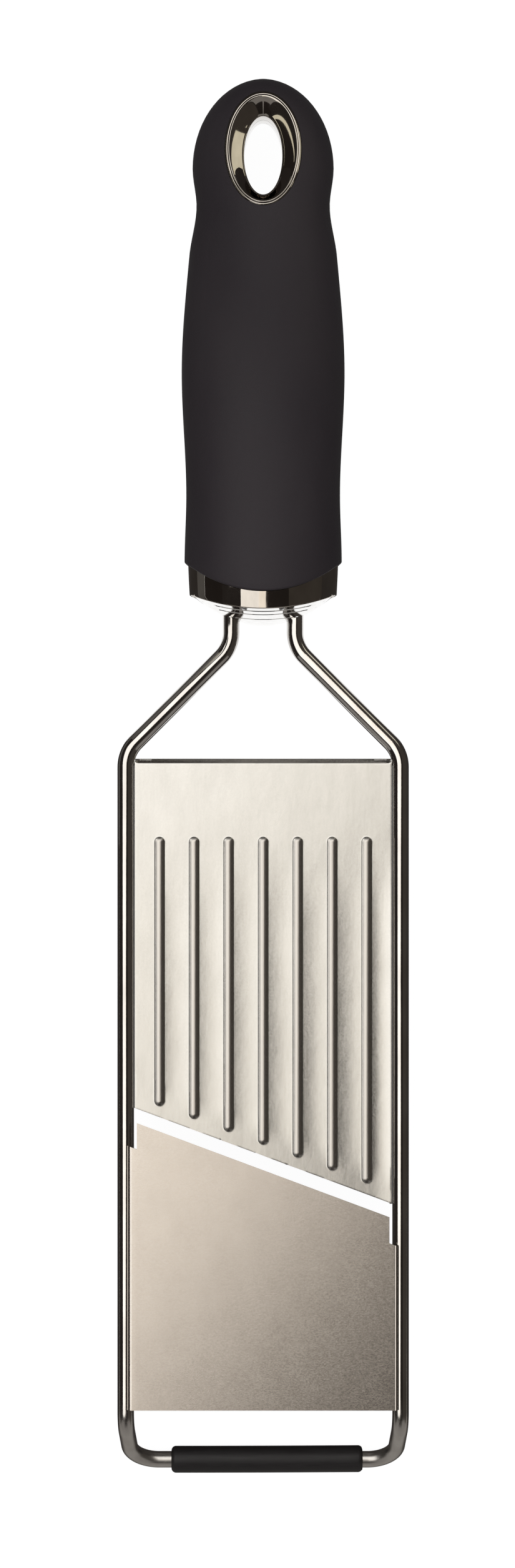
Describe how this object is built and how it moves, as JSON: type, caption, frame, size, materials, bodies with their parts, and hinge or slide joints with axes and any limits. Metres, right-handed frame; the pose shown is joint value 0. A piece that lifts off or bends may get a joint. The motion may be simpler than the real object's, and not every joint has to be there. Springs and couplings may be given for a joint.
{
  "type": "handheld mandoline",
  "caption": "Handheld mandoline with a ribbed runway and a slanted blade plate in a bent rod frame, a soft-grip handle with a hanging eye, and a rubber foot.",
  "frame": {"origin": "on the surface the tool lies on, under the middle of its bounding box", "axes": "+Y up the handle, +Z out of the slicing face, +X to the right as seen from the slicing face"},
  "size_m": [0.0666, 0.32, 0.0306],
  "materials": {
    "rod_steel": "polished stainless rod",
    "runway_steel": "brushed along the tool",
    "blade_steel": "satin, faintly mottled",
    "foot_rubber": "smooth black rubber",
    "core_plastic": "moulded",
    "grip_rubber": "soft-touch, matt",
    "plated_trim": "dark mirror plating"
  },
  "bodies": {
    "root": {"frame_rod": "rod_steel", "runway_plate": "runway_steel", "blade_plate": "blade_steel", "foot_sleeve": "foot_rubber", "core_front": "core_plastic", "core_back": "core_plastic", "soft_grip": "grip_rubber", "ferrule": "plated_trim", "eyelet_front": "plated_trim", "eyelet_back": "plated_trim"}
  },
  "joints": []
}
